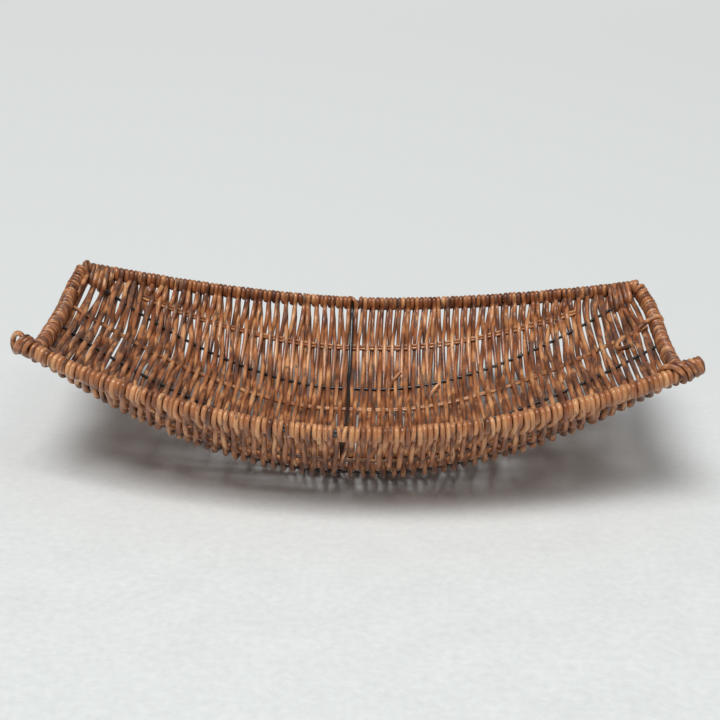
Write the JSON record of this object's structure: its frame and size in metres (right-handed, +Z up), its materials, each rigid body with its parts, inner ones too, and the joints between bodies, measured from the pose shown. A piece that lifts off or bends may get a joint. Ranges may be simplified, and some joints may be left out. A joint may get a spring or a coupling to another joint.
{
  "type": "woven basket",
  "caption": "Shallow boat-shaped tray basket: vine woven over a black steel wire frame, with raised, wrapped ends and no handle.",
  "frame": {"origin": "centre of the basket's outline on the surface that it stands on", "axes": "+X along the basket towards its right end, +Y across it towards the back rim, +Z up"},
  "size_m": [0.483, 0.2947, 0.1142],
  "materials": {
    "black_steel": "satin black, wire and rod",
    "weaving_vine": "glossy lacquered reddish-brown vine with grey-brown bark patches",
    "stake_vine": "lacquered vine stakes, a little paler",
    "binding_vine": "glossy lacquered vine, wound tight"
  },
  "bodies": {
    "root": {"corner_binding_back_left": "binding_vine", "corner_binding_back_right": "binding_vine", "corner_binding_front_left": "binding_vine", "corner_binding_front_right": "binding_vine", "cross_rod": "black_steel", "end_binding_left_back": "binding_vine", "end_binding_left_front": "binding_vine", "end_binding_right_back": "binding_vine", "end_binding_right_front": "binding_vine", "end_wire_left_lower": "black_steel", "end_wire_left_upper": "black_steel", "end_wire_right_lower": "black_steel", "end_wire_right_upper": "black_steel", "rim_wire_back_lower": "black_steel", "rim_wire_back_upper": "black_steel", "rim_wire_front_lower": "black_steel", "rim_wire_front_upper": "black_steel", "rod_back": "black_steel", "rod_bottom": "black_steel", "rod_front": "black_steel", "stake_back_inner_1": "stake_vine", "stake_back_inner_2": "stake_vine", "stake_back_outer_1": "stake_vine", "stake_back_outer_2": "stake_vine", "stake_front_inner_1": "stake_vine", "stake_front_inner_2": "stake_vine", "stake_front_outer_1": "stake_vine", "stake_front_outer_2": "stake_vine", "weaving_strand_01": "weaving_vine", "weaving_strand_02": "weaving_vine", "weaving_strand_03": "weaving_vine", "weaving_strand_04": "weaving_vine", "weaving_strand_05": "weaving_vine", "weaving_strand_06": "weaving_vine", "weaving_strand_07": "weaving_vine", "weaving_strand_08": "weaving_vine", "weaving_strand_09": "weaving_vine", "weaving_strand_10": "weaving_vine", "weaving_strand_11": "weaving_vine", "weaving_strand_12": "weaving_vine"}
  },
  "joints": []
}
